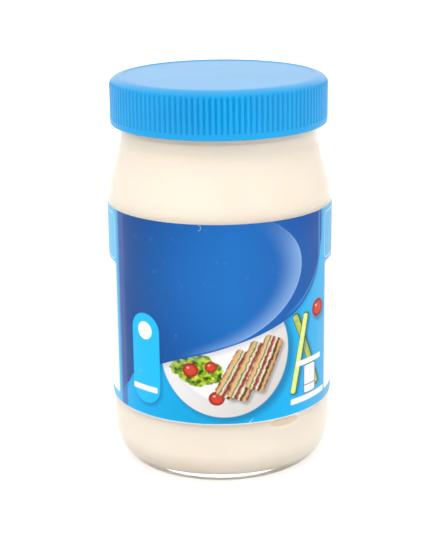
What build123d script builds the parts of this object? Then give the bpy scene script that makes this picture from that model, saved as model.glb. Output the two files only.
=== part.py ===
# A glass mayonnaise jar with its screw cap, its filling and its wrap-round label.
#
# Every piece is turned about the Z axis. The origin is the middle of the foot, on
# the surface that the jar stands on, and the front of the label faces -Y.
# All sizes are millimetres and all angles are degrees.

import math
import os

from build123d import *

# ---------------------------------------------------------------- driving sizes

# the glass, outside
BODY_RADIUS = 38.3             # straight wall behind the label
NECK_RADIUS = 33.55            # plain wall of the neck, between the thread beads
FOOT_RADIUS = 31.6             # outer edge of the ring that the jar stands on
FOOT_RING_WIDTH = 3.4          # width of that ring
PUSH_UP = 1.8                  # height of the hollow inside the ring
HEEL_HEIGHT = 12.8             # height at which the heel becomes the straight wall
HEEL_BLEND = 3.0               # small round between the foot ring and the heel
STRAIGHT_WALL = 78.4           # height of the straight wall
SHOULDER_TURN = 26.0           # round between the straight wall and the shoulder
SHOULDER_LEAN = 15.5           # lean of the shoulder, measured from upright
NECK_TURN = 6.0                # hollow round between the shoulder and the neck
NECK_HEIGHT = 19.2             # from the end of that round to the rim
RIM_ROUND = 0.9                # softened lip of the mouth

# the glass, inside
WALL = 2.2                     # thickness of the body and the shoulder
NECK_WALL = 2.7                # thickness of the neck
FLOOR = 4.2                    # thickness of the bottom
INNER_HEEL_ROUND = 9.0         # inside corner between the bottom and the wall

# beads round the neck, measured down from the rim
COLLAR_DROP = 14.6             # collar that shows just below the cap
COLLAR_PROUD = 0.9
COLLAR_HALF_WIDTH = 1.5
THREAD_DROPS = (5.3, 9.3)      # one plain bead for each turn of the thread
THREAD_PROUD = 1.1
THREAD_HALF_WIDTH = 1.2

# the filling
HEADSPACE = 5.5                # air between the filling and the rim

# the label
LABEL_THICKNESS = 0.2
LABEL_LIFT = 9.9               # plain glass between the heel and the label
LABEL_DROP = 0.0               # plain straight glass above the label

# the screw cap
CAP_RADIUS = 36.65             # over the ribs
CAP_HEIGHT = 15.75
CAP_LID = 1.6                  # thickness above the rim
CAP_THREAD_GAP = 0.3           # between the skirt and the thread beads
CAP_EDGE_RUN = 4.05            # rounded top edge, measured across
CAP_EDGE_DROP = 2.6            # rounded top edge, measured down
CAP_DISH = 0.25                # depth of the flat below the rounded edge
CAP_DISH_STEP = 0.6            # width of the slope down to the flat
CAP_BAND = 2.1                 # plain band below the ribs
CAP_LIP_ROUND = 0.4            # softened lower edge
RIB_COUNT = 123
GROOVE_DEPTH = 0.5
GROOVE_SHARE = 0.5             # part of each rib's pitch that is groove

# ------------------------------------------------------- sizes that follow them

shoulder_start = HEEL_HEIGHT + STRAIGHT_WALL
lean_sin = math.sin(math.radians(SHOULDER_LEAN))
lean_cos = math.cos(math.radians(SHOULDER_LEAN))


def neck_start(wall_radius, neck_radius, wall_round, neck_round):
    """Height at which a shoulder between two upright walls becomes the neck."""
    straight_run = wall_radius - neck_radius - (wall_round + neck_round) * (1 - lean_cos)
    straight_rise = straight_run * lean_cos / lean_sin
    return shoulder_start + (wall_round + neck_round) * lean_sin + straight_rise


rim_height = NECK_HEIGHT + neck_start(BODY_RADIUS, NECK_RADIUS, SHOULDER_TURN, NECK_TURN)

label_bottom = HEEL_HEIGHT + LABEL_LIFT
label_top = shoulder_start - LABEL_DROP

cap_top = rim_height + CAP_LID
cap_bottom = cap_top - CAP_HEIGHT
skirt_inner_radius = NECK_RADIUS + THREAD_PROUD + CAP_THREAD_GAP

# the hollow under the foot is part of a sphere, and the floor inside follows it
hollow_radius = FOOT_RADIUS - FOOT_RING_WIDTH
push_up_sphere = (hollow_radius**2 + PUSH_UP**2) / (2 * PUSH_UP)
push_up_centre = PUSH_UP - push_up_sphere

# --------------------------------------------------------------------- outlines


def shoulder(wall_radius, neck_radius, wall_round, neck_round):
    """Draw a shoulder, and return the height at which the neck begins."""
    neck_base = neck_start(wall_radius, neck_radius, wall_round, neck_round)
    turn_centre = (wall_radius - wall_round, shoulder_start)
    turn = CenterArc(turn_centre, wall_round, 0, SHOULDER_LEAN)
    hollow_centre = (neck_radius + neck_round, neck_base)
    hollow = CenterArc(hollow_centre, neck_round, 180 + SHOULDER_LEAN, -SHOULDER_LEAN)
    Line(turn @ 1, hollow @ 0)
    return neck_base


def bead(drop, half_width, proud):
    """Draw a rounded bead on the neck, and return the heights of its two ends."""
    middle = rim_height - drop
    low_end = middle - half_width
    high_end = middle + half_width
    crest = (NECK_RADIUS + proud, middle)
    ThreePointArc((NECK_RADIUS, low_end), crest, (NECK_RADIUS, high_end))
    return low_end, high_end


def glass_outline():
    """Draw half of the jar's outside, from the hollow under the foot to the rim."""
    # hollow and foot ring
    hollow_angle = math.degrees(math.asin(hollow_radius / push_up_sphere))
    CenterArc((0, push_up_centre), push_up_sphere, 90, -hollow_angle)
    Line((hollow_radius, 0), (FOOT_RADIUS, 0))

    # the heel is one large round that meets the small one and the wall smoothly
    heel_run = BODY_RADIUS - FOOT_RADIUS
    heel_rise = HEEL_HEIGHT - HEEL_BLEND
    heel_round = (heel_run**2 + heel_rise**2 - HEEL_BLEND**2) / (2 * (heel_run - HEEL_BLEND))
    heel_centre = BODY_RADIUS - heel_round
    heel_angle = math.degrees(math.atan2(heel_rise, FOOT_RADIUS - heel_centre))
    CenterArc((FOOT_RADIUS, HEEL_BLEND), HEEL_BLEND, -90, 90 - heel_angle)
    CenterArc((heel_centre, HEEL_HEIGHT), heel_round, -heel_angle, heel_angle)

    # straight wall and shoulder
    Line((BODY_RADIUS, HEEL_HEIGHT), (BODY_RADIUS, shoulder_start))
    height = shoulder(BODY_RADIUS, NECK_RADIUS, SHOULDER_TURN, NECK_TURN)

    # neck with its collar and thread beads, lowest first
    beads = [(COLLAR_DROP, COLLAR_HALF_WIDTH, COLLAR_PROUD)]
    beads += [(drop, THREAD_HALF_WIDTH, THREAD_PROUD) for drop in sorted(THREAD_DROPS, reverse=True)]
    for drop, half_width, proud in beads:
        low_end, high_end = bead(drop, half_width, proud)
        Line((NECK_RADIUS, height), (NECK_RADIUS, low_end))
        height = high_end
    Line((NECK_RADIUS, height), (NECK_RADIUS, rim_height))

    # rim and axis
    Line((NECK_RADIUS, rim_height), (0, rim_height))
    Line((0, rim_height), (0, PUSH_UP))


def cavity_outline(top):
    """Draw half of the space inside the glass, from its floor up to a height."""
    wall_radius = BODY_RADIUS - WALL
    neck_radius = NECK_RADIUS - NECK_WALL

    # the floor is parallel to the hollow below it
    floor_sphere = push_up_sphere + FLOOR
    corner_radius = wall_radius - INNER_HEEL_ROUND
    corner_reach = floor_sphere + INNER_HEEL_ROUND
    corner_height = push_up_centre + math.sqrt(corner_reach**2 - corner_radius**2)
    floor_angle = math.degrees(math.asin(corner_radius / corner_reach))
    CenterArc((0, push_up_centre), floor_sphere, 90, -floor_angle)
    corner_centre = (corner_radius, corner_height)
    CenterArc(corner_centre, INNER_HEEL_ROUND, -90 - floor_angle, 90 + floor_angle)

    # wall, shoulder and neck follow the outside
    Line((wall_radius, corner_height), (wall_radius, shoulder_start))
    inner_turn = SHOULDER_TURN - WALL
    inner_hollow = NECK_TURN + WALL
    neck_base = shoulder(wall_radius, neck_radius, inner_turn, inner_hollow)
    Line((neck_radius, neck_base), (neck_radius, top))
    Line((neck_radius, top), (0, top))
    Line((0, top), (0, push_up_centre + floor_sphere))


def cap_outline():
    """Draw half of the cap: lid and skirt, without the grooves between the ribs."""
    edge_start = CAP_RADIUS - CAP_EDGE_RUN
    flat_edge = edge_start - CAP_DISH_STEP
    wall_top = cap_top - CAP_EDGE_DROP

    # top: sunk flat, slope, and a rounded edge flatter than a circle
    Line((0, cap_top - CAP_DISH), (flat_edge, cap_top - CAP_DISH))
    Line((flat_edge, cap_top - CAP_DISH), (edge_start, cap_top))
    EllipticalCenterArc((edge_start, wall_top), CAP_EDGE_RUN, CAP_EDGE_DROP, arc_size=90)

    # outside of the skirt, its softened lip, and the inside
    lip_top = cap_bottom + CAP_LIP_ROUND
    lip_inner = CAP_RADIUS - CAP_LIP_ROUND
    Line((CAP_RADIUS, wall_top), (CAP_RADIUS, lip_top))
    CenterArc((lip_inner, lip_top), CAP_LIP_ROUND, 0, -90)
    Line((lip_inner, cap_bottom), (skirt_inner_radius, cap_bottom))
    Line((skirt_inner_radius, cap_bottom), (skirt_inner_radius, rim_height))
    Line((skirt_inner_radius, rim_height), (0, rim_height))
    Line((0, rim_height), (0, cap_top - CAP_DISH))


# ------------------------------------------------------------------------ glass

with BuildPart() as glass_jar:
    with BuildSketch(Plane.XZ):
        with BuildLine():
            glass_outline()
        make_face()
    revolve(axis=Axis.Z)

    with BuildSketch(Plane.XZ):
        with BuildLine():
            cavity_outline(rim_height)
        make_face()
    revolve(axis=Axis.Z, mode=Mode.SUBTRACT)

    rim_edges = glass_jar.edges().filter_by(GeomType.CIRCLE).group_by(Axis.Z)[-1]
    fillet(rim_edges, RIM_ROUND)

# ---------------------------------------------------------------------- filling

with BuildPart() as mayonnaise:
    with BuildSketch(Plane.XZ):
        with BuildLine():
            cavity_outline(rim_height - HEADSPACE)
        make_face()
    revolve(axis=Axis.Z)

# ------------------------------------------------------------------------ label

with BuildPart() as wrap_label:
    with BuildSketch(Plane.XY.offset(label_bottom)):
        Circle(BODY_RADIUS + LABEL_THICKNESS)
        Circle(BODY_RADIUS, mode=Mode.SUBTRACT)
    extrude(amount=label_top - label_bottom)

# -------------------------------------------------------------------------- cap

rib_pitch = 2 * math.pi * CAP_RADIUS / RIB_COUNT
groove_half_width = rib_pitch * GROOVE_SHARE / 2
groove_round = (groove_half_width**2 + GROOVE_DEPTH**2) / (2 * GROOVE_DEPTH)

with BuildPart() as screw_cap:
    with BuildSketch(Plane.XZ):
        with BuildLine():
            cap_outline()
        make_face()
    revolve(axis=Axis.Z)

    with BuildSketch(Plane.XY.offset(cap_bottom + CAP_BAND)):
        with PolarLocations(CAP_RADIUS - GROOVE_DEPTH + groove_round, RIB_COUNT):
            Circle(groove_round)
    extrude(amount=CAP_HEIGHT - CAP_BAND, mode=Mode.SUBTRACT)

# ----------------------------------------------------------------------- export

glass_jar.part.label = "glass_jar"
mayonnaise.part.label = "mayonnaise"
wrap_label.part.label = "wrap_label"
screw_cap.part.label = "screw_cap"

os.makedirs("parts", exist_ok=True)
export_step(glass_jar.part, "parts/glass_jar.step")
export_step(mayonnaise.part, "parts/mayonnaise.step")
export_step(wrap_label.part, "parts/wrap_label.step")
export_step(screw_cap.part, "parts/screw_cap.step")

brimful = (mayonnaise.part.volume + math.pi * (NECK_RADIUS - NECK_WALL) ** 2 * HEADSPACE) / 1000
print("height over the cap", round(cap_top, 2), "mm, label", round(label_bottom, 2), "to", round(label_top, 2))
print("filling", round(mayonnaise.part.volume / 1000, 1), "ml of", round(brimful, 1), "ml brimful")
print("glass", round(glass_jar.part.volume / 1000, 1), "ml, cap", round(screw_cap.part.volume / 1000, 1), "ml")
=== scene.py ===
# %% [markdown]
# A glass jar of mayonnaise, with a ribbed blue screw cap and a printed label.
# The construction model gives every piece its size and place, and this file gives
# the pieces their looks. Four things are made: the glass, the mayonnaise inside it,
# the paper label round it and the cap on top. All of them but the label are turned
# shapes, so most of the modelling is drawing half an outline and spinning it.

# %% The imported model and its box
import bpy
import bmesh
import math
from mathutils import Matrix, Vector


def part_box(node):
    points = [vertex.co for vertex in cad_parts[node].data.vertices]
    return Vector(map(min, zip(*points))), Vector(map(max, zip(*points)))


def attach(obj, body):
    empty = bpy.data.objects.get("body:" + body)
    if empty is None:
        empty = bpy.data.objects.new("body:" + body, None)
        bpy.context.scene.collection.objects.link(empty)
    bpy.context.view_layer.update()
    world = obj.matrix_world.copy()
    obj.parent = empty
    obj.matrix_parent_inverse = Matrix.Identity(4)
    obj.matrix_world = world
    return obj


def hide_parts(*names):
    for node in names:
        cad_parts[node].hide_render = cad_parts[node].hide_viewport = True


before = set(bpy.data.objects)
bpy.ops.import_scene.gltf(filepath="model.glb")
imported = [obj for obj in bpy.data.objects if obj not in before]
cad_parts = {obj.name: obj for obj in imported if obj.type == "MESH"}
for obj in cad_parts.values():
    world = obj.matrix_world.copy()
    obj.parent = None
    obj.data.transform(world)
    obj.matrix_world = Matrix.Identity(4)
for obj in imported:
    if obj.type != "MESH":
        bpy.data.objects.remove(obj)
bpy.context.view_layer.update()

MM = 0.001

# %% [markdown]
# A long lens from a little above keeps the jar's sides nearly upright and still shows
# the top of the cap. The camera stands half a metre away, looks down by about
# seventeen degrees and is rolled by a touch.

# %% Camera
CAMERA_PLACE = (-0.00017, -0.4749, 0.2067)
CAMERA_DOWN = 16.633
CAMERA_ROLL = -0.6126
LENS, SENSOR = 94.8, 36

camera = bpy.data.objects.new("camera", bpy.data.cameras.new("camera"))
camera.data.lens = LENS
camera.data.sensor_width = SENSOR
camera.location = CAMERA_PLACE
tilt = Matrix.Rotation(math.radians(90 - CAMERA_DOWN), 4, "X")
roll = Matrix.Rotation(math.radians(CAMERA_ROLL), 4, "Z")
camera.rotation_euler = (tilt @ roll).to_euler()
bpy.context.scene.collection.objects.link(camera)
bpy.context.scene.camera = camera
bpy.context.scene.view_settings.view_transform = "Standard"
print("camera looks down", CAMERA_DOWN, "degrees")

# %% [markdown]
# Nodes can be wired by hand in the editor, or by a few small functions that do the
# same. A value may be a plain number or the output of another node, so the one
# function that fills a socket takes either.

# %% Helpers for materials
tree = None


def open_tree(name):
    """Make an empty material, and let the helpers below work on it."""
    global tree
    material = bpy.data.materials.new(name)
    material.use_nodes = True
    tree = material.node_tree
    tree.nodes.clear()
    return material


def node(kind, **settings):
    made = tree.nodes.new(kind)
    for key, value in settings.items():
        setattr(made, key, value)
    return made


def feed(socket, value):
    """Fill a socket with another node's output or with a plain value."""
    if isinstance(value, bpy.types.NodeSocket):
        tree.links.new(value, socket)
    else:
        socket.default_value = value


def calc(operation, *values):
    """One step of arithmetic."""
    made = node("ShaderNodeMath", operation=operation)
    for socket, value in zip(made.inputs, values):
        feed(socket, value)
    return made.outputs[0]


def fade(value, start, end):
    """0 up to start, 1 from end on, and a smooth step between them."""
    made = node("ShaderNodeMapRange", interpolation_type="SMOOTHSTEP")
    for socket, number in zip(made.inputs, (value, start, end, 0.0, 1.0)):
        feed(socket, number)
    return made.outputs[0]


def colour(red, green, blue):
    """A colour on the usual 0 to 255 scale, as the shaders want it."""
    def linear(value):
        value /= 255
        return value / 12.92 if value <= 0.04045 else ((value + 0.055) / 1.055) ** 2.4
    return (linear(red), linear(green), linear(blue), 1)


def paint(under, mask, over):
    """Lay one colour over another where the mask is 1."""
    made = node("ShaderNodeMix", data_type="RGBA")
    feed(made.inputs[0], mask)
    feed(made.inputs[6], under)
    feed(made.inputs[7], over)
    return made.outputs[2]


def ramp(value, stops):
    """A run of colours along a value from 0 to 1."""
    made = node("ShaderNodeValToRGB")
    feed(made.inputs[0], value)
    elements = made.color_ramp.elements
    while len(elements) < len(stops):
        elements.new(0.5)
    for element, (place, shade) in zip(elements, stops):
        element.position = place
        element.color = shade
    return made.outputs[0]


def noise(where, scale, detail):
    """Soft random values from 0 to 1. A larger scale makes finer ones."""
    made = node("ShaderNodeTexNoise")
    feed(made.inputs["Vector"], where)
    feed(made.inputs["Scale"], scale)
    feed(made.inputs["Detail"], detail)
    return made.outputs["Fac"]


def object_point():
    return node("ShaderNodeTexCoord").outputs["Object"]


def bump(height, distance):
    """A surface direction bent as if the surface had this relief, in metres."""
    made = node("ShaderNodeBump")
    feed(made.inputs["Strength"], 1.0)
    feed(made.inputs["Distance"], distance)
    feed(made.inputs["Height"], height)
    return made.outputs[0]


def close_tree(**sockets):
    """End the material with one surface shader, its sockets named with _ for a space."""
    shader = node("ShaderNodeBsdfPrincipled")
    for key, value in sockets.items():
        feed(shader.inputs[key.replace("_", " ")], value)
    tree.links.new(shader.outputs[0], node("ShaderNodeOutputMaterial").inputs[0])


def seen_directly():
    """1 where the camera, a reflection or a view through glass meets the surface."""
    path = node("ShaderNodeLightPath")
    seen = calc("MAXIMUM", path.outputs["Is Camera Ray"], path.outputs["Is Glossy Ray"])
    return calc("MAXIMUM", seen, path.outputs["Is Transmission Ray"])


print("material helpers ready")

# %% [markdown]
# A soft studio look needs big lights and a bright room. The room is the world colour,
# which is plain white where the camera, a reflection or the glass sees it, and
# dimmer where it lights things, so that large soft lamps can still give form.

# %% World
ROOM_LIGHT = 0.82

world = bpy.data.worlds.new("room")
bpy.context.scene.world = world
world.use_nodes = True
tree = world.node_tree
tree.nodes.clear()
seen = seen_directly()
background = node("ShaderNodeBackground")
background.inputs["Color"].default_value = (1, 1, 1, 1)
feed(background.inputs["Strength"], calc("MULTIPLY_ADD", seen, 1 - ROOM_LIGHT, ROOM_LIGHT))
tree.links.new(background.outputs[0], node("ShaderNodeOutputWorld").inputs[0])
print("room light", ROOM_LIGHT)

# %% [markdown]
# Four large square lamps stand round the jar: the strongest at the front left, a fill at
# the front right, one above, and one behind for the back of the label. Reflections don't
# show them, because a hard white square on the glass would draw the eye.

# %% Lamps
LAMPS = {                                # place in metres, size in metres, power in watts
    "key": ((-0.55, -0.6, 0.6), 0.9, 3.1),
    "fill": ((0.7, -0.45, 0.35), 0.9, 2.1),
    "top": ((0.0, 0.1, 0.9), 0.9, 1.3),
    "back": ((0.1, 0.8, 0.5), 0.9, 2.2),
}
AIM = Vector((0, 0, 0.06))

for name, (place, size, watts) in LAMPS.items():
    lamp = bpy.data.objects.new(name, bpy.data.lights.new(name, "AREA"))
    lamp.data.shape = "SQUARE"
    lamp.data.size = size
    lamp.data.energy = watts
    lamp.visible_glossy = False
    lamp.location = place
    lamp.rotation_euler = (AIM - Vector(place)).to_track_quat("-Z", "Y").to_euler()
    bpy.context.scene.collection.objects.link(lamp)
print("lamps:", ", ".join(LAMPS))

# %% [markdown]
# A white floor can be lit until it matches the room, but then the jar is lit too
# brightly. Here the floor glows a little where it is seen, and lights nothing with it.

# %% Floor
FLOOR_LIFT = 0.22
FLOOR_WIDTH = 6

bpy.ops.object.select_all(action="DESELECT")
bpy.ops.mesh.primitive_plane_add(size=FLOOR_WIDTH)
floor = bpy.context.object
floor.name = "floor"
floor_look = open_tree("floor_white")
close_tree(Base_Color=(0.95, 0.95, 0.95, 1), Roughness=0.9, Emission_Color=(1, 1, 1, 1),
           Emission_Strength=calc("MULTIPLY", seen_directly(), FLOOR_LIFT))
floor.data.materials.append(floor_look)
print("floor is", floor.dimensions.x, "m wide")

# %% [markdown]
# Glass jars are blown into a mould, so every level of the jar is a circle. To draw
# half the outline, one vertex is extruded for a straight run and spun about a point
# for a round one. The outline is then spun once round the upright axis.

# %% Drawing and turning an outline
TURN_STEPS = 192
WELD = 0.000002


def start_outline(name, height):
    """Begin a new piece with one vertex on the upright axis, and stay in edit mode."""
    bpy.ops.object.select_all(action="DESELECT")
    bpy.ops.mesh.primitive_plane_add(size=MM)
    piece = bpy.context.object
    piece.name = name
    piece.data.name = name
    bpy.ops.object.mode_set(mode="EDIT")
    bpy.ops.mesh.merge(type="CENTER")
    bpy.ops.transform.translate(value=(0, 0, height * MM))
    return piece


def line_to(radius, height, steps=1):
    """Carry the outline straight to a point, in equal steps."""
    drawn = bmesh.from_edit_mesh(bpy.context.object.data)
    here = next(vertex.co.copy() for vertex in drawn.verts if vertex.select)
    step = (Vector((radius * MM, 0, height * MM)) - here) / steps
    for _ in range(steps):
        bpy.ops.mesh.extrude_region_move(TRANSFORM_OT_translate={"value": step})


def arc_round(radius, height, turn, steps):
    """Carry the outline round a centre, anticlockwise by an angle in degrees."""
    bpy.ops.mesh.spin(steps=steps, angle=math.radians(turn), axis=(0, 1, 0),
                      center=(radius * MM, 0, height * MM))


def weld():
    """Join vertices that coincide, and turn every face outwards."""
    bpy.ops.mesh.select_all(action="SELECT")
    bpy.ops.mesh.remove_doubles(threshold=WELD)
    bpy.ops.mesh.normals_make_consistent(inside=False)


def turn_outline():
    """Spin the outline once round the upright axis."""
    bpy.ops.mesh.select_all(action="SELECT")
    bpy.ops.mesh.spin(steps=TURN_STEPS, angle=2 * math.pi, axis=(0, 0, 1), center=(0, 0, 0))
    weld()


def finish_piece(piece, node_name, look, smooth_angle=40):
    """Leave edit mode, count open edges, and tie the piece to the frame."""
    bpy.ops.mesh.select_all(action="DESELECT")
    bpy.ops.mesh.select_non_manifold()
    open_edges = sum(edge.select for edge in bmesh.from_edit_mesh(piece.data).edges)
    bpy.ops.object.mode_set(mode="OBJECT")
    bpy.ops.object.shade_smooth_by_angle(angle=math.radians(smooth_angle))
    piece.data.materials.append(look)
    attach(piece, "root")
    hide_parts(node_name)
    print(piece.name, "has", len(piece.data.polygons), "faces and", open_edges, "open edges")


print("outlines turn in", TURN_STEPS, "steps")

# %% [markdown]
# The sizes of the glass are the construction model's own, in millimetres. The height
# of the rim, the label and the cap are read from the frame, and the rest are named here.

# %% Sizes of the glass
glass_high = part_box("glass_jar")[1]
label_low, label_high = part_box("wrap_label")
cap_low, cap_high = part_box("screw_cap")
RIM = glass_high.z / MM
LABEL_BOTTOM = label_low.z / MM
LABEL_TOP = label_high.z / MM
LABEL_RADIUS = label_high.x / MM
PAPER = 0.2
BODY = LABEL_RADIUS - PAPER
NECK = 33.55
FOOT, FOOT_RING, PUSH_UP = 31.6, 3.4, 1.8
HEEL, HEEL_BLEND = 12.8, 3.0
LEAN, SHOULDER_TURN, NECK_TURN = 15.5, 26.0, 6.0
RIM_ROUND = 0.9
WALL, NECK_WALL, BOTTOM, CORNER = 2.2, 2.7, 4.2, 9.0
BEADS = ((14.6, 1.5, 0.9), (9.3, 1.2, 1.1), (5.3, 1.2, 1.1))   # drop, half width, proud
lean_sin = math.sin(math.radians(LEAN))
lean_cos = math.cos(math.radians(LEAN))
hollow = FOOT - FOOT_RING
sphere = (hollow ** 2 + PUSH_UP ** 2) / (2 * PUSH_UP)
sphere_centre = PUSH_UP - sphere
print("rim at", round(RIM, 2), "label from", round(LABEL_BOTTOM, 2), "to", round(LABEL_TOP, 2))

# %% [markdown]
# The outline is made of straight runs and round turns that meet without a kink. Where
# the shoulder becomes the neck follows from both turns, so it is worked out.

# %% Outline of the glass
def neck_base(wall, neck, wall_round, neck_round):
    """Height where a shoulder between two upright walls becomes the neck."""
    run = wall - neck - (wall_round + neck_round) * (1 - lean_cos)
    return LABEL_TOP + (wall_round + neck_round) * lean_sin + run * lean_cos / lean_sin


def draw_outside():
    """From the middle of the hollow foot, round the heel and up to the rim."""
    arc_round(0, sphere_centre, -math.degrees(math.asin(hollow / sphere)), 10)
    line_to(FOOT, 0, 3)
    heel_run, heel_rise = BODY - FOOT, HEEL - HEEL_BLEND
    heel_round = (heel_run ** 2 + heel_rise ** 2 - HEEL_BLEND ** 2) / (2 * (heel_run - HEEL_BLEND))
    heel_centre = BODY - heel_round
    heel_angle = math.degrees(math.atan2(heel_rise, FOOT - heel_centre))
    arc_round(FOOT, HEEL_BLEND, 90 - heel_angle, 8)
    arc_round(heel_centre, HEEL, heel_angle, 14)
    line_to(BODY, LABEL_TOP, 12)
    arc_round(BODY - SHOULDER_TURN, LABEL_TOP, LEAN, 10)
    base = neck_base(BODY, NECK, SHOULDER_TURN, NECK_TURN)
    centre = NECK + NECK_TURN
    line_to(centre - NECK_TURN * lean_cos, base - NECK_TURN * lean_sin, 6)
    arc_round(centre, base, -LEAN, 6)
    for drop, half, proud in BEADS:
        line_to(NECK, RIM - drop - half)
        bead = (half ** 2 + proud ** 2) / (2 * proud)
        arc_round(NECK + proud - bead, RIM - drop, 2 * math.degrees(math.asin(half / bead)), 8)
    line_to(NECK, RIM - RIM_ROUND)
    arc_round(NECK - RIM_ROUND, RIM - RIM_ROUND, 90, 5)


def draw_inside(reach, sunk=0.0):
    """From the top of the neck down to the middle of the floor, reaching into the glass."""
    wall, neck = BODY - WALL + reach, NECK - NECK_WALL + reach
    wall_round, neck_round = SHOULDER_TURN - WALL + reach, NECK_TURN + WALL - reach
    base = neck_base(wall, neck, wall_round, neck_round)
    line_to(neck, base, 3)
    arc_round(neck + neck_round, base, LEAN, 6)
    middle = wall - wall_round
    line_to(middle + wall_round * lean_cos, LABEL_TOP + wall_round * lean_sin, 6)
    arc_round(middle, LABEL_TOP, -LEAN, 10)
    corner = CORNER - sunk
    corner_radius = wall - corner
    corner_reach = sphere + BOTTOM - reach - sunk + corner
    floor_angle = math.degrees(math.asin(corner_radius / corner_reach))
    corner_height = sphere_centre + math.sqrt(corner_reach ** 2 - corner_radius ** 2)
    line_to(wall, corner_height, 60)
    arc_round(corner_radius, corner_height, -90 - floor_angle, 14)
    arc_round(0, sphere_centre, floor_angle, 10)


print("neck begins at", round(neck_base(BODY, NECK, SHOULDER_TURN, NECK_TURN), 1), "mm")

# %% [markdown]
# Clear glass bends light by an index of about one and a half. Real container glass is
# never quite even, so a very slow bump makes its reflections waver. Light on its way
# from a lamp is let straight through, because light that glass bends is slow to render.

# %% Glass material
glass_look = open_tree("clear_glass")
point = object_point()
waver = noise(point, 38, 1.0)
orange_peel = noise(point, 420, 2.0)
relief = calc("MULTIPLY_ADD", orange_peel, 0.04, waver)
glass = node("ShaderNodeBsdfPrincipled")
feed(glass.inputs["Base Color"], (0.992, 0.998, 0.995, 1))
feed(glass.inputs["Roughness"], calc("MULTIPLY_ADD", orange_peel, 0.03, 0.005))
feed(glass.inputs["IOR"], 1.5)
feed(glass.inputs["Transmission Weight"], 1.0)
feed(glass.inputs["Normal"], bump(relief, 0.0004))
clear = node("ShaderNodeBsdfTransparent")
feed(clear.inputs[0], (0.99, 0.99, 0.985, 1))
mixed = node("ShaderNodeMixShader")
feed(mixed.inputs[0], node("ShaderNodeLightPath").outputs["Is Shadow Ray"])
tree.links.new(glass.outputs[0], mixed.inputs[1])
tree.links.new(clear.outputs[0], mixed.inputs[2])
tree.links.new(mixed.outputs[0], node("ShaderNodeOutputMaterial").inputs[0])
print(glass_look.name, "has", len(tree.nodes), "nodes")

# %% [markdown]
# A modifier could give the wall one even thickness, but a real jar is thicker in the
# neck and the bottom. So the outline goes up the outside, over the rim and down the
# inside, and one spin makes the whole wall.

# %% Glass jar
jar = start_outline("jar_glass", PUSH_UP)
draw_outside()
line_to(NECK - NECK_WALL + RIM_ROUND, RIM)
arc_round(NECK - NECK_WALL + RIM_ROUND, RIM - RIM_ROUND, 90, 5)
draw_inside(0)
turn_outline()
finish_piece(jar, "glass_jar", glass_look)

# %% [markdown]
# Mayonnaise is an emulsion, so light soaks in a little way and comes out softened and
# warm: that is subsurface scattering. The filling reaches a tenth of a millimetre into
# the wall, so that no air lies between it and the glass, and 0.9 mm further into the
# bottom, where it keeps the clear edge at the foot thin. Air leaves small pockets at the
# glass. Three are pressed in, and the largest, low on the front right, also gets painted
# shade: a tan colour laid in it for the shadow inside the pocket.

# %% Mayonnaise material
POCKETS = (                              # degrees round, height, half width, half height, depth
    (35, 20.5, 6.5, 1.6, 0.9),
    (-18, 12.5, 1.0, 0.8, 0.25),
    (-1, 102.8, 0.9, 0.7, 0.2),
)
POCKET_STRETCH = 3.6
# Painted shade for the largest pocket: where it fades in and out, and how strongly.
POCKET_SHADE_FROM, POCKET_SHADE_TO, POCKET_SHADE_STRENGTH = 0.0062, 0.0048, 0.75
shaded_around, shaded_height = POCKETS[0][:2]
pocket_turn = math.radians(shaded_around)
pocket_out = (BODY - WALL) * MM
pocket_place = (pocket_out * math.sin(pocket_turn), -pocket_out * math.cos(pocket_turn),
                shaded_height * MM * POCKET_STRETCH)
filling_look = open_tree("mayonnaise_cream")
point = object_point()
cloud = noise(point, 60, 4.0)
speckle = fade(noise(point, 900, 2.0), 0.66, 0.74)
cream = ramp(cloud, ((0.25, colour(254, 237, 219)), (0.75, colour(255, 242, 227))))
cream = paint(cream, calc("MULTIPLY", speckle, 0.12), colour(232, 206, 150))
stretch = node("ShaderNodeVectorMath", operation="MULTIPLY")
feed(stretch.inputs[0], point)
stretch.inputs[1].default_value = (1, 1, POCKET_STRETCH)
offset = node("ShaderNodeVectorMath", operation="DISTANCE")
feed(offset.inputs[0], stretch.outputs[0])
offset.inputs[1].default_value = pocket_place
# Painted shade: tan over the cream in the largest pocket, for the shadow inside it.
painted_pocket_shade = calc("MULTIPLY", fade(offset.outputs["Value"], POCKET_SHADE_FROM, POCKET_SHADE_TO), POCKET_SHADE_STRENGTH)
cream = paint(cream, painted_pocket_shade, colour(226, 196, 156))
close_tree(Base_Color=cream, Roughness=calc("MULTIPLY_ADD", cloud, 0.15, 0.3),
           Subsurface_Weight=0.35, Subsurface_Radius=(1.0, 0.75, 0.45), Subsurface_Scale=0.002,
           Normal=bump(noise(point, 220, 4.0), 0.0001))
print(filling_look.name, "has", len(tree.nodes), "nodes")

# %% [markdown]
# The filling is drawn with the same inside outline as the glass, so the two follow each
# other. Vertices at a pocket then move towards the axis, furthest in its middle.

# %% Mayonnaise
REACH = 0.1
BOTTOM_SUNK = 0.9
HEADSPACE = 5.5
TOP_ROUND = 1.5

filling = start_outline("mayonnaise_filling", RIM - HEADSPACE)
line_to(NECK - NECK_WALL + REACH - TOP_ROUND, RIM - HEADSPACE, 8)
arc_round(NECK - NECK_WALL + REACH - TOP_ROUND, RIM - HEADSPACE - TOP_ROUND, -90, 5)
draw_inside(REACH, BOTTOM_SUNK)
turn_outline()
cells = bmesh.from_edit_mesh(filling.data)
for around, height, half_width, half_height, depth in POCKETS:
    for vertex in cells.verts:
        out = math.hypot(vertex.co.x, vertex.co.y) / MM
        if out < NECK - NECK_WALL:
            continue
        turned_by = math.degrees(math.atan2(vertex.co.x, -vertex.co.y))
        across = math.radians(turned_by - around) * out / half_width
        share = 1 - across ** 2 - ((vertex.co.z / MM - height) / half_height) ** 2
        if share > 0:
            shrink = 1 - depth * math.sqrt(share) / out
            vertex.co.x *= shrink
            vertex.co.y *= shrink
bmesh.update_edit_mesh(filling.data)
finish_piece(filling, "mayonnaise", filling_look)

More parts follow.
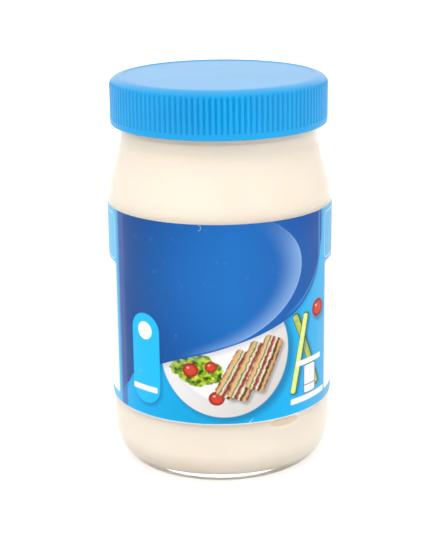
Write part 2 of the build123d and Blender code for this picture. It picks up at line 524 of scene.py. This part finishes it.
# %% [markdown]
# The label is one strip of coated paper. It could be a tube, but a real label has two
# ends that lap over each other at the back, so a flat grid is made at the strip's size
# and laid round the jar. The grid brings its own UV map, which runs from 0 to 1 along
# the strip and up it, and the print is placed with it.

# %% Label strip
LAP = 8.0
LAP_RISE, LAP_RUN = 0.22, 2
LABEL_SINK, PAPER_CLEARANCE = 0.02, 0.03
around_jar = 2 * math.pi * LABEL_RADIUS
strip_length = around_jar + LAP
strip_height = LABEL_TOP - LABEL_BOTTOM

bpy.ops.object.select_all(action="DESELECT")
bpy.ops.mesh.primitive_grid_add(x_subdivisions=300, y_subdivisions=24, size=1)
label = bpy.context.object
label.name = "label_strip"
bpy.ops.object.mode_set(mode="EDIT")
bpy.ops.transform.resize(value=(strip_length * MM, strip_height * MM, 1))
bpy.ops.object.mode_set(mode="OBJECT")
for vertex in label.data.vertices:
    along = vertex.co.x / MM + strip_length / 2
    turned_by = along / LABEL_RADIUS - math.pi
    lap = min(max((along - around_jar + LAP_RUN) / LAP_RUN, 0), 1)
    out = LABEL_RADIUS - LABEL_SINK + LAP_RISE * lap * lap * (3 - 2 * lap)
    height = LABEL_BOTTOM + strip_height / 2 + vertex.co.y / MM
    vertex.co = Vector((out * math.sin(turned_by), -out * math.cos(turned_by), height)) * MM
print("strip", round(strip_length, 1), "by", round(strip_height, 1), "mm")

# %% [markdown]
# A printed design can be an image, but here it is drawn by the material itself. Each
# shape is a distance: below zero is inside it and above zero is outside. A shape is
# laid over the colours below it, as ink is, one after another.

# %% Shapes for the print
SOFT = 0.1


def turned(middle_x, middle_y, degrees=0):
    """Position on the label from a point, in mm, turned by an angle."""
    right, up = calc("SUBTRACT", x, middle_x), calc("SUBTRACT", y, middle_y)
    if not degrees:
        return right, up
    cosine, sine = math.cos(math.radians(degrees)), math.sin(math.radians(degrees))
    along = calc("MULTIPLY_ADD", right, cosine, calc("MULTIPLY", up, sine))
    across = calc("MULTIPLY_ADD", up, cosine, calc("MULTIPLY", right, -sine))
    return along, across


def oval(spot, half_width, half_height):
    """Distance from the edge of an oval, exact for a circle and near enough for others."""
    ratio_x, ratio_y = calc("DIVIDE", spot[0], half_width), calc("DIVIDE", spot[1], half_height)
    reach = calc("SQRT", calc("MULTIPLY_ADD", ratio_x, ratio_x, calc("MULTIPLY", ratio_y, ratio_y)))
    return calc("MULTIPLY", calc("SUBTRACT", reach, 1), min(half_width, half_height))


def slab(spot, half_width, half_height, corner=0.3):
    """A rectangle with rounded corners."""
    past_x = calc("MAXIMUM", calc("SUBTRACT", calc("ABSOLUTE", spot[0]), half_width - corner), 0)
    past_y = calc("MAXIMUM", calc("SUBTRACT", calc("ABSOLUTE", spot[1]), half_height - corner), 0)
    reach = calc("MULTIPLY_ADD", past_x, past_x, calc("MULTIPLY", past_y, past_y))
    return calc("SUBTRACT", calc("SQRT", reach), corner)


def within(distance, soft):
    """1 inside the shape, 0 outside, and soft across the edge."""
    return fade(distance, soft, -soft)


def wobble(distance, size, scale):
    """Make an edge uneven, by up to this size in mm."""
    shift = calc("MULTIPLY", calc("SUBTRACT", noise(flat, scale, 2.0), 0.5), 2 * size)
    return calc("ADD", distance, shift)


def lay(ink, distance, over, strength=1.0, soft=SOFT):
    """Print one shape in a colour over the ink below it."""
    mask = within(distance, soft)
    if strength != 1.0:
        mask = calc("MULTIPLY", mask, strength)
    return paint(ink, mask, over)


def edges_of(x0, x1, y0, y1):
    """Middle and half sizes of a rectangle given by its sides."""
    return (x0 + x1) / 2, (y0 + y1) / 2, (x1 - x0) / 2, (y1 - y0) / 2


print("edges soften over", SOFT, "mm to each side")

# %% [markdown]
# The UV map is turned into millimetres, with 0 at the middle of the front and at the
# bottom edge. A light cyan runs right round the strip, below everything else.

# %% Label: sea of blue
WHITE = colour(233, 234, 238)

label_look = open_tree("label_print")
places = node("ShaderNodeSeparateXYZ")
tree.links.new(node("ShaderNodeTexCoord").outputs["UV"], places.inputs[0])
x = calc("MULTIPLY_ADD", places.outputs[0], strip_length, -around_jar / 2)
y = calc("MULTIPLY", places.outputs[1], strip_height)
joined = node("ShaderNodeCombineXYZ")
feed(joined.inputs[0], x)
feed(joined.inputs[1], y)
flat = joined.outputs[0]

side = calc("MULTIPLY_ADD", x, 1 / 100, 0.5)
ink = ramp(side, ((0.04, colour(101, 185, 226)), (0.09, colour(60, 168, 222)),
                  (0.17, colour(4, 168, 228)), (0.42, colour(8, 160, 212)),
                  (0.75, colour(22, 172, 231)), (0.92, colour(70, 170, 220)),
                  (0.96, colour(101, 170, 212))))
print("cyan laid,", len(tree.nodes), "nodes")

# %% [markdown]
# Food could be painted as an image, but a few plain shapes read well at this size. The
# plate is three discs over a shadow. A leaf is an oval with an uneven edge, and a
# tomato is a dark oval with a lighter one and a small shine on it.

# %% Label: plate, salad and tomatoes
def leaf(ink, middle_x, middle_y, half_width, half_height, degrees, over):
    edge = wobble(oval(turned(middle_x, middle_y, degrees), half_width, half_height), 1.1, 0.55)
    return lay(ink, edge, over, soft=0.25)


def tomato(ink, middle_x, middle_y, size):
    spot = turned(middle_x, middle_y)
    ink = lay(ink, oval(spot, size, size * 0.92), colour(150, 22, 18), soft=0.2)
    ink = lay(ink, oval(spot, size * 0.74, size * 0.66), colour(204, 66, 44), soft=0.5)
    return lay(ink, oval(turned(middle_x - size * 0.3, middle_y + size * 0.3),
                         size * 0.14, size * 0.1), colour(244, 214, 200), soft=0.25)


PLATE_X, PLATE_Y, PLATE = 1.2, 25.0, 22.3
WELL_EDGE, WELL = 17.6, 16.8
ink = lay(ink, oval(turned(PLATE_X + 2.0, PLATE_Y - 1.6), PLATE + 0.6, PLATE),
          colour(20, 96, 140), 0.65, 1.8)
china = ramp(calc("MULTIPLY_ADD", calc("SUBTRACT", x, y), 1 / 70, 0.85),
             ((0.0, colour(232, 228, 226)), (0.5, colour(224, 223, 224)),
              (1.0, colour(206, 200, 194))))
ink = lay(ink, oval(turned(PLATE_X, PLATE_Y), PLATE, PLATE), china, soft=0.2)
ink = lay(ink, oval(turned(PLATE_X, PLATE_Y), WELL_EDGE, WELL_EDGE),
          colour(196, 193, 194), 0.35, 1.4)
ink = lay(ink, oval(turned(PLATE_X, PLATE_Y), WELL, WELL), colour(238, 236, 234), 0.85, 0.9)

leaves = ramp(noise(flat, 0.5, 3.0),
              ((0.34, colour(40, 62, 18)), (0.45, colour(96, 134, 24)),
               (0.58, colour(176, 196, 44)), (0.75, colour(214, 222, 110))))
for spot in ((-13.0, 20.4, 4.6, 3.2, 20), (-7.5, 21.6, 5.0, 3.4, -10), (-3.5, 18.0, 4.2, 3.6, 30),
             (-9.5, 16.6, 5.2, 2.8, -15), (2.5, 14.2, 3.4, 2.4, 40)):
    ink = leaf(ink, *spot, leaves)
ink = tomato(ink, -10.4, 19.0, 2.7)
ink = tomato(ink, -3.5, 20.4, 2.1)
ink = tomato(ink, -1.7, 9.4, 2.7)
print("plate and salad laid,", len(tree.nodes), "nodes")

# %% [markdown]
# A sandwich cut across shows its layers, so each piece of it is one slab with a run of
# colours from crust to crust. Noise added to the position makes the layers ragged.

# %% Label: the sandwich's layers
def sandwich(ink, middle_x, middle_y, half_width, half_height, degrees):
    spot = turned(middle_x, middle_y, degrees)
    shade = turned(middle_x + 0.8, middle_y - 1.0, degrees)
    ink = lay(ink, slab(shade, half_width, half_height, 1.6), colour(90, 78, 70), 0.55, 0.9)
    ragged = calc("MULTIPLY", calc("SUBTRACT", noise(flat, 0.6, 3.0), 0.5), 1.7)
    across = calc("MULTIPLY_ADD", calc("ADD", spot[0], ragged), 0.5 / half_width, 0.5)
    filling_layers = ramp(across, (
        (0.0, colour(104, 66, 40)), (0.08, colour(206, 158, 104)), (0.2, colour(222, 186, 138)),
        (0.27, colour(84, 112, 26)), (0.35, colour(236, 222, 196)), (0.43, colour(110, 34, 36)),
        (0.52, colour(176, 88, 74)), (0.6, colour(240, 226, 204)), (0.68, colour(62, 84, 24)),
        (0.76, colour(108, 30, 32)), (0.83, colour(214, 176, 126)), (0.93, colour(186, 132, 78)),
        (1.0, colour(92, 58, 36))))
    edge = wobble(slab(spot, half_width, half_height, 1.4), 0.4, 0.7)
    return lay(ink, edge, filling_layers, soft=0.2)


ink = sandwich(ink, 4.6, 17.6, 3.6, 8.6, -28)
ink = sandwich(ink, 9.2, 18.4, 3.8, 10.4, -26)
ink = sandwich(ink, 14.6, 20.6, 3.6, 9.6, -24)
print("sandwich laid,", len(tree.nodes), "nodes")

# %% [markdown]
# A stick is drawn between two points: its shadow first, then a slab in the dark colour
# of the rind, then the paler flesh inside it. Both sticks cross the edge of the deep
# field, so they are laid after it.

# %% Label: how a stick is drawn
def stick(ink, x0, y0, x1, y1, half_width, flesh):
    """A cut stick with a dark rind round it and its shadow beside it."""
    degrees = math.degrees(math.atan2(y1 - y0, x1 - x0))
    half = math.hypot(x1 - x0, y1 - y0) / 2
    middle = ((x0 + x1) / 2, (y0 + y1) / 2)
    shade = turned(middle[0] + 1.0, middle[1] - 0.5, degrees)
    ink = lay(ink, slab(shade, half, half_width, half_width * 0.8), colour(8, 74, 122), 0.5, 0.8)
    spot = turned(*middle, degrees)
    ink = lay(ink, slab(spot, half, half_width, half_width * 0.8), colour(52, 92, 34))
    core = turned(middle[0] - 0.15, middle[1], degrees)
    return lay(ink, slab(core, half - 0.5, half_width - 0.42, half_width * 0.5), flesh, soft=0.22)


pale_flesh = ramp(noise(flat, 0.9, 2.0),
                  ((0.3, colour(208, 224, 120)), (0.7, colour(226, 238, 158))))
green_flesh = ramp(noise(flat, 0.9, 2.0),
                   ((0.3, colour(150, 172, 70)), (0.7, colour(196, 206, 108))))
print("flesh mixed,", len(tree.nodes), "nodes")

# %% [markdown]
# The deep blue field covers the upper front, and ends below along one long curve that
# rises to the right. Its blue carries a painted sheen at the left and a painted highlight
# in the middle of the front. A pale crescent sweeps across it, made of one oval taken away
# from another, and a soft band follows its edge at the right.

# %% Label: deep field, crescent and sticks
FIELD_LEFT, FIELD_RIGHT = -41.2, 40.9
CURVE_WIDTH, CURVE_HEIGHT = 90, 80
EDGE_POINTS = ((-45, 4), (-37, 9.6), (-33.5, 13.8), (-21.2, 19.6), (-15.4, 21.9), (0, 26.5),
               (22.3, 34.2), (27, 36.5), (32, 40.4), (35.8, 44.6), (38.5, 49.3), (40.4, 57), (45, 80))

curve = node("ShaderNodeFloatCurve")
feed(curve.inputs["Value"], calc("MULTIPLY_ADD", x, 1 / CURVE_WIDTH, 0.5))
line = curve.mapping.curves[0]
while len(line.points) < len(EDGE_POINTS):
    line.points.new(0.5, 0.5)
for place, (px, py) in zip(line.points, EDGE_POINTS):
    place.location = (px / CURVE_WIDTH + 0.5, py / CURVE_HEIGHT)
curve.mapping.update()
below_edge = calc("MULTIPLY_ADD", curve.outputs[0], CURVE_HEIGHT, calc("MULTIPLY", y, -1))
left_end = calc("SUBTRACT", FIELD_LEFT, x)
right_end = calc("SUBTRACT", x, FIELD_RIGHT)
field = calc("MAXIMUM", below_edge, calc("MAXIMUM", left_end, right_end))

# The deep blue is the print's own colour, and partly painted light: its left end is kept lighter than
# its right as a painted sheen.
depth = calc("MULTIPLY_ADD", x, 1 / 84, 0.5)
deep = ramp(depth, ((0.0, colour(28, 74, 138)), (0.12, colour(14, 72, 138)),
                    (0.35, colour(0, 80, 156)), (0.55, colour(0, 88, 166)),
                    (0.78, colour(0, 66, 146)), (1.0, colour(0, 56, 134))))
# Painted highlight: a soft lighter blue over the middle of the front.
painted_highlight = fade(oval(turned(8, 50), 30, 26), 14.0, -18.0)
deep = paint(deep, calc("MULTIPLY", painted_highlight, 0.35), colour(44, 130, 208))
ink = lay(ink, calc("SUBTRACT", field, 1.5), colour(8, 92, 152), 0.28, 1.5)
ink = lay(ink, field, deep)

outer = oval(turned(-30.6, 47.7, 6), 60, 27.3)
inner = oval(turned(-36.4, 49.8, 4), 60, 29.6)
in_field = within(calc("ADD", field, 0.6), 0.5)
sweep = calc("MULTIPLY", within(outer, 0.25), fade(inner, -2.6, 3.4))
strength = calc("MULTIPLY", fade(x, -16, -2), fade(y, 72, 56))
sweep = calc("MULTIPLY", calc("MULTIPLY", sweep, strength), in_field)
ink = paint(ink, calc("MULTIPLY", sweep, 0.62), colour(150, 190, 234))
rim_line = calc("MULTIPLY", within(calc("ABSOLUTE", outer), 0.3), strength)
rim_line = calc("MULTIPLY", rim_line, in_field)
ink = paint(ink, calc("MULTIPLY", rim_line, 0.7), colour(206, 226, 246))
band = within(calc("SUBTRACT", calc("ABSOLUTE", calc("ADD", field, 1.4)), 0.5), 0.9)
band = calc("MULTIPLY", band, calc("MULTIPLY", fade(x, 20, 30), in_field))
ink = paint(ink, calc("MULTIPLY", band, 0.75), colour(62, 150, 216))

ink = stick(ink, 26.4, 35.6, 38.3, 8.0, 1.5, green_flesh)
ink = stick(ink, 32.0, 35.2, 25.6, 7.2, 1.5, pale_flesh)
ink = lay(ink, oval(turned(39.6, 34.0), 3.9, 3.7), colour(8, 66, 120), 0.5, 1.0)
ink = tomato(ink, 38.6, 35.0, 3.4)
strip_edge = slab(turned(-40.0, 34.25), 1.9, 40)
ink = lay(ink, strip_edge, colour(70, 92, 158), 0.8, 0.5)
print("deep field laid,", len(tree.nodes), "nodes")

# %% [markdown]
# The tab at the left and the panels round the sides only carry wording on a real jar,
# so they stay as plain fields at their own size. White panels go on towards the back,
# where the strip is plain and its two ends lap.

# %% Label: tab, lozenge and side panels
TAB_WIDTH, TAB_HEIGHT, TAB_CORNER = 6.05, 15.8, 6.0
BADGE = 3.1
LOZENGE_FRAME = colour(70, 76, 88)
tab_middle = turned(-27.65, 20.4)
ink = lay(ink, slab(turned(-27.0, 19.6), 6.2, 15.9, TAB_CORNER), colour(6, 70, 140), 0.5, 1.2)
tab = slab(tab_middle, TAB_WIDTH, TAB_HEIGHT, TAB_CORNER)
ink = lay(ink, tab, colour(27, 183, 235), soft=0.15)
ink = lay(ink, oval(turned(-27.7, 30.2), BADGE, BADGE), WHITE)
PANELS = (
    (-33.7, -22.7, 8.8, 10.8, 0.4),      # low on the tab
    (27.3, 40.8, 16.7, 18.6, 0.4),       # above the lozenge
    (24.8, 43.5, 3.6, 5.7, 0.4),         # below it
    (44.3, 84.7, 3.6, 49.6, 1.2),        # right side
    (-84.7, -44.3, 3.1, 50.0, 1.2),      # left side
)
for x0, x1, y0, y1, corner in PANELS:
    cx, cy, half_width, half_height = edges_of(x0, x1, y0, y1)
    ink = lay(ink, slab(turned(cx, cy), half_width, half_height, corner), WHITE)
cx, cy, half_width, half_height = edges_of(30.8, 37.2, 6.1, 16.5)
lozenge = slab(turned(cx, cy), half_width, half_height, 1.0)
ink = lay(ink, lozenge, LOZENGE_FRAME)
ink = lay(ink, calc("ADD", lozenge, 0.28), WHITE)
ink = lay(ink, slab(turned(cx, 9.2), half_width, 0.14, 0.12), LOZENGE_FRAME)
for x0, x1 in ((43.9, 84.7), (-84.7, -44.7)):
    cx, cy, half_width, half_height = edges_of(x0, x1, 50.8, 66.6)
    outline = slab(turned(cx, cy), half_width, half_height, 1.9)
    frame_line = calc("SUBTRACT", calc("ABSOLUTE", outline), 0.2)
    ink = lay(ink, frame_line, colour(170, 214, 240))
print("tab, lozenge and panels laid,", len(tree.nodes), "nodes")

# %% [markdown]
# A label that has been handled shows its paper: a thin bare line along the bottom edge,
# a small nick near the top, a little tear at the bottom and a faint rub all over.

# %% Label: bare paper at the edge and nicks
PAPER_WHITE = colour(236, 238, 240)
nick_line = calc("SUBTRACT", calc("ABSOLUTE", oval(turned(-7.3, 67.4), 1.1, 1.0)), 0.05)
nick = calc("MAXIMUM", nick_line, calc("SUBTRACT", -7.1, x))
ink = lay(ink, nick, PAPER_WHITE, 0.55)
tear = wobble(slab(turned(9.6, 0.9, 40), 1.2, 0.12, 0.1), 0.12, 1.4)
ink = lay(ink, tear, PAPER_WHITE, 0.5)
ink = lay(ink, calc("SUBTRACT", wobble(y, 0.12, 0.4), 0.28), PAPER_WHITE, 0.9)
rub = fade(noise(flat, 0.28, 5.0), 0.62, 0.8)
ink = paint(ink, calc("MULTIPLY", rub, 0.05), PAPER_WHITE)
print("wear laid,", len(tree.nodes), "nodes")

# %% [markdown]
# Coated paper is smooth but not flat: it lies over the glass with slow waves, and the
# coating has a fine grain. Both go into the bump, and the grain into the roughness.

# %% Label: paper and gloss
grain = noise(flat, 3.2, 4.0)
waves = noise(flat, 0.06, 1.0)
paper_relief = calc("MULTIPLY_ADD", grain, 0.03, waves)
close_tree(Base_Color=ink, Roughness=calc("MULTIPLY_ADD", grain, 0.12, 0.34),
           Specular_IOR_Level=0.16, Normal=bump(paper_relief, 0.0008))

paper_look = open_tree("label_paper_white")
fibres = noise(object_point(), 900, 3.0)
close_tree(Base_Color=ramp(fibres, ((0.3, colour(226, 226, 222)), (0.7, colour(240, 240, 238)))),
           Roughness=0.8, Normal=bump(fibres, 0.00003))
print("label materials:", label_look.name, "and", paper_look.name)

# %% [markdown]
# So far the strip is a surface without thickness. Solidify makes it paper, with the
# print on its outer side and plain paper on the inner side and the cut edges.

# %% Label: thickness
bpy.ops.object.select_all(action="DESELECT")
label.select_set(True)
bpy.context.view_layer.objects.active = label
label.data.materials.append(label_look)
label.data.materials.append(paper_look)
solidify = label.modifiers.new("paper", "SOLIDIFY")
solidify.thickness = (PAPER - PAPER_CLEARANCE) * MM
solidify.offset = -1
solidify.material_offset = 1
solidify.material_offset_rim = 1
bpy.ops.object.modifier_apply(modifier=solidify.name)
bpy.ops.object.shade_smooth_by_angle(angle=math.radians(40))
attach(label, "root")
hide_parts("wrap_label")
print(label.name, "has", len(label.data.polygons), "faces")

# %% [markdown]
# The cap is hard blue plastic. Its blue varies a little with the moulding, fine pores
# break up the gloss, and only the top and its rounded edge have a polished coat.

# %% Cap material
cap_look = open_tree("cap_blue_plastic")
point = object_point()
mould = noise(point, 55, 3.0)
pores = noise(point, 1800, 2.0)
levels = node("ShaderNodeSeparateXYZ")
feed(levels.inputs[0], point)
polish = fade(levels.outputs[2], cap_high.z - 2.0 * MM, cap_high.z - 0.8 * MM)
blue = ramp(mould, ((0.3, colour(0, 149, 213)), (0.7, colour(0, 158, 221))))
close_tree(Base_Color=blue, Roughness=calc("MULTIPLY_ADD", pores, 0.14, 0.3),
           Specular_IOR_Level=0.32, Coat_Weight=calc("MULTIPLY", polish, 0.55),
           Coat_Roughness=0.12, Normal=bump(pores, 0.00003))
print(cap_look.name, "has", len(tree.nodes), "nodes")

# %% [markdown]
# The cap is one moulding with the same rib over a hundred times. Only one rib's width
# is modelled: its outline is spun through that small angle, the groove is pressed into
# the first half of it, and the wedge is then copied round and welded.

# %% Cap
RIBS = 123
RIB_STEPS = 8
GROOVE_DEPTH = 0.5
GROOVE_SHARE = 0.5
CAP_RADIUS = 36.65
CAP_BAND, CAP_LIP = 2.1, 0.4
BAND_STEP, GROOVE_START = 0.25, 0.1
EDGE_RUN, EDGE_DROP, EDGE_STEPS = 4.05, 2.6, 12
DISH, DISH_STEP = 0.25, 0.6
SKIRT_INSIDE = 34.95
cap_top, cap_bottom = cap_high.z / MM, cap_low.z / MM
pitch = 360 / RIBS

cap = start_outline("cap_ribbed", cap_top - DISH)
edge_start = CAP_RADIUS - EDGE_RUN
line_to(edge_start - DISH_STEP, cap_top - DISH, 4)
line_to(edge_start, cap_top)
for step in range(1, EDGE_STEPS + 1):
    angle = math.radians(90 - step * 90 / EDGE_STEPS)
    line_to(edge_start + EDGE_RUN * math.cos(angle),
            cap_top - EDGE_DROP + EDGE_DROP * math.sin(angle))
line_to(CAP_RADIUS, cap_bottom + CAP_BAND + BAND_STEP, 3)
line_to(CAP_RADIUS, cap_bottom + CAP_BAND)
line_to(CAP_RADIUS, cap_bottom + CAP_LIP)
arc_round(CAP_RADIUS - CAP_LIP, cap_bottom + CAP_LIP, -90, 4)
line_to(SKIRT_INSIDE, cap_bottom)
line_to(SKIRT_INSIDE, RIM)
line_to(0, RIM, 3)
bpy.ops.mesh.select_all(action="SELECT")
bpy.ops.mesh.spin(steps=RIB_STEPS, angle=math.radians(pitch), axis=(0, 0, 1), center=(0, 0, 0))
bpy.ops.mesh.select_all(action="SELECT")
bpy.ops.mesh.remove_doubles(threshold=WELD)
wedge = bmesh.from_edit_mesh(cap.data)
groove_from = (cap_bottom + CAP_BAND + GROOVE_START) * MM
for vertex in wedge.verts:
    share = (math.degrees(abs(math.atan2(vertex.co.y, vertex.co.x))) / pitch) / GROOVE_SHARE
    depth = GROOVE_DEPTH * max(0, 1 - (2 * share - 1) ** 2)
    out = math.hypot(vertex.co.x, vertex.co.y)
    limit = (CAP_RADIUS - depth) * MM
    if out > limit and vertex.co.z > groove_from:
        vertex.co.x *= limit / out
        vertex.co.y *= limit / out
bmesh.update_edit_mesh(cap.data)
bpy.ops.mesh.select_all(action="SELECT")
bpy.ops.mesh.spin(steps=RIBS - 1, dupli=True, angle=math.radians(pitch * (RIBS - 1)),
                  axis=(0, 0, 1), center=(0, 0, 0))
weld()
bpy.ops.mesh.select_all(action="DESELECT")
whole = bmesh.from_edit_mesh(cap.data)
for edge in whole.edges:
    outs = [math.hypot(end.co.x, end.co.y) / MM for end in edge.verts]
    on_crease = min(abs(outs[0] - crease) for crease in (edge_start, edge_start - DISH_STEP)) < 0.01
    level_round = abs(outs[0] - outs[1]) < 0.001
    edge.select = on_crease and level_round and edge.verts[0].co.z / MM > cap_top - 1
bmesh.update_edit_mesh(cap.data)
bpy.ops.mesh.mark_sharp()
finish_piece(cap, "screw_cap", cap_look, smooth_angle=50)

# %% [markdown]

# %% Finish
print("all pieces made")
